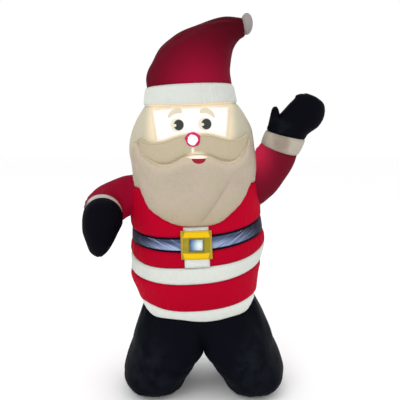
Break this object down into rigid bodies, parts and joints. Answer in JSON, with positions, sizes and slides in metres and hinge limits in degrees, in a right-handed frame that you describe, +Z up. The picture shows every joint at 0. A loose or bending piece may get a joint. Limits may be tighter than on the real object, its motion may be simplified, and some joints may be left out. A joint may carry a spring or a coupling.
{
  "type": "inflatable santa",
  "caption": "Standing air-filled cloth Santa with one arm raised to wave, pointed hat, full beard, belted coat and wide legs; stands on two flat soles.",
  "frame": {"origin": "on the floor under the middle of the bounding box", "axes": "+Z up, the figure faces -Y, its own left hand is at +X"},
  "size_m": [0.7443, 0.3924, 1.211],
  "materials": {
    "red_cloth": "thin woven nylon, lit from inside",
    "white_cloth": "thin woven nylon with a short nap",
    "belt_cloth": "printed thin woven nylon",
    "buckle_cloth": "printed thin woven nylon",
    "hair_cloth": "thin woven nylon with a short nap",
    "moustache_cloth": "thin woven nylon with a short nap",
    "face_cloth": "thin woven nylon, lit from inside",
    "nose_cloth": "thin woven nylon, lit from inside",
    "black_cloth": "thin woven nylon",
    "grey_cloth": "thin woven nylon with a short nap"
  },
  "bodies": {
    "root": {"trousers": "black_cloth", "coat_hem": "white_cloth", "coat_skirt": "red_cloth", "coat_band": "white_cloth", "coat_waist": "red_cloth", "belt": "belt_cloth", "coat_chest": "red_cloth", "buckle": "buckle_cloth", "placket_bottom": "white_cloth", "placket_top": "white_cloth", "left_sleeve": "red_cloth", "left_cuff": "white_cloth", "left_mitten": "black_cloth", "right_sleeve": "red_cloth", "right_cuff": "white_cloth", "right_mitten": "black_cloth", "head": "hair_cloth", "face": "face_cloth", "beard": "hair_cloth", "moustache": "moustache_cloth", "nose": "nose_cloth", "hat_brim": "white_cloth", "hat": "red_cloth", "pompom": "grey_cloth"}
  },
  "joints": []
}
